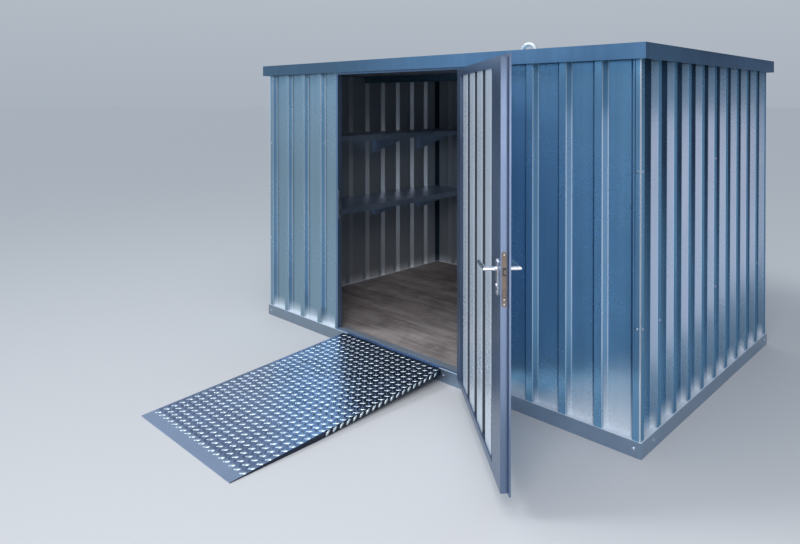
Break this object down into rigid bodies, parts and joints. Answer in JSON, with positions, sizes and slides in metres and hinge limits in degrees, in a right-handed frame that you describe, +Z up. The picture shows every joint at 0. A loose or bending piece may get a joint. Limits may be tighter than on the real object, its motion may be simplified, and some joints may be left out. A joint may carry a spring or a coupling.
{
  "type": "steel storage container",
  "caption": "Flat-roofed storage container of trapezoidal galvanised sheet on a box frame, with an outward-opening door leaf, lever handles, wall shelves, a lifting eye and a tread-plate ramp.",
  "frame": {"origin": "middle of the container's plan, on the ground, at the bottom face of the centre floor joist", "axes": "+X along the front towards the hinge side, -Y out of the door side, +Z up"},
  "size_m": [3.225, 3.667, 2.206],
  "materials": {
    "profiled_sheet": "galvanised, satin, faint spangle",
    "galvanised_frame": "galvanised, satin",
    "doorway_steel": "galvanised, satin",
    "door_steel": "galvanised, satin",
    "door_infill": "galvanised, bright",
    "hinge_steel": "zinc plated",
    "lock_brass": "aged, satin",
    "handle_metal": "satin anodised",
    "shelf_steel": "galvanised, satin",
    "floor_wood": "worn film-faced plywood",
    "eye_steel": "galvanised, dull",
    "ramp_metal": "tread pattern, bright"
  },
  "bodies": {
    "container": {"back_wall_left": "profiled_sheet", "back_wall_middle": "profiled_sheet", "back_wall_right": "profiled_sheet", "base_rail_back": "galvanised_frame", "base_rail_front": "galvanised_frame", "base_rail_left": "galvanised_frame", "base_rail_right": "galvanised_frame", "corner_post_back_left": "galvanised_frame", "corner_post_back_right": "galvanised_frame", "corner_post_front_left": "galvanised_frame", "corner_post_front_right": "galvanised_frame", "door_head": "doorway_steel", "door_sill": "doorway_steel", "fascia_back": "galvanised_frame", "fascia_front": "galvanised_frame", "fascia_left": "galvanised_frame", "fascia_right": "galvanised_frame", "floor_boards": "floor_wood", "floor_joists": "galvanised_frame", "front_wall_left": "profiled_sheet", "front_wall_right": "profiled_sheet", "hinge_jamb": "doorway_steel", "hinges_jamb_half": "hinge_steel", "left_wall_back": "profiled_sheet", "left_wall_front": "profiled_sheet", "lifting_eye": "eye_steel", "loading_ramp": "ramp_metal", "right_wall_back": "profiled_sheet", "right_wall_front": "profiled_sheet", "roof_beam": "galvanised_frame", "roof_sheet": "profiled_sheet", "shelf_brackets": "shelf_steel", "shelf_lower": "shelf_steel", "shelf_upper": "shelf_steel", "strike_jamb": "doorway_steel"},
    "door": {"door_lock_stile": "door_steel", "door_hinge_stile": "door_steel", "door_rails": "door_steel", "door_sheet": "door_infill", "lock_faceplate": "lock_brass", "handle_plate_outside": "handle_metal", "handle_plate_inside": "handle_metal", "hinges_leaf_half": "hinge_steel"},
    "lever": {"lever_outside": "handle_metal", "lever_inside": "handle_metal"}
  },
  "joints": [
    {"name": "door_swing", "type": "hinge", "parent": "container", "child": "door", "pos_m": [0.485, -1.076, 1], "axis": [0, 0, 1], "range_deg": [-138.2, 31.5]},
    {"name": "lever_turn", "type": "hinge", "parent": "door", "child": "lever", "pos_m": [1.30574, -1.84739, 1.04], "axis": [-0.6665, -0.7455, 0], "range_deg": [0, 40], "stiffness_Nm_per_rad": 1.5, "springref_deg": -22.92}
  ]
}
